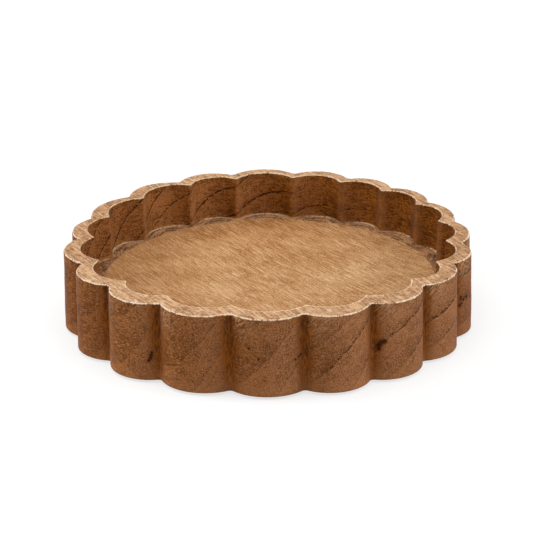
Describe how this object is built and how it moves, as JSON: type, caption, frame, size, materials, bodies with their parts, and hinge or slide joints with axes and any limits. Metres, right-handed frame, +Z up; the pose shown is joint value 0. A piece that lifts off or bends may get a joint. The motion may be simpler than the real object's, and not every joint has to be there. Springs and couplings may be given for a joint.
{
  "type": "scalloped wooden tray",
  "caption": "Round wooden tray with a scalloped upright wall, a sunken round floor panel and soft pads underneath.",
  "frame": {"origin": "on the surface that the tray stands on, under the middle of its bounding box", "axes": "+Z up out of the open well, -Y towards the front of the tray, +X to its right"},
  "size_m": [0.3014, 0.3058, 0.0618],
  "materials": {
    "carved_wood": "matt brown stain on light ring-porous wood, worn pale along the rim",
    "sanded_wood": "honey-tan, sanded flat and matt, with fine straight grain",
    "brown_felt": "dense brown felt"
  },
  "bodies": {
    "root": {"scalloped_body": "carved_wood", "floor_panel": "sanded_wood", "felt_pad_1": "brown_felt", "felt_pad_2": "brown_felt", "felt_pad_3": "brown_felt", "felt_pad_4": "brown_felt"}
  },
  "joints": []
}
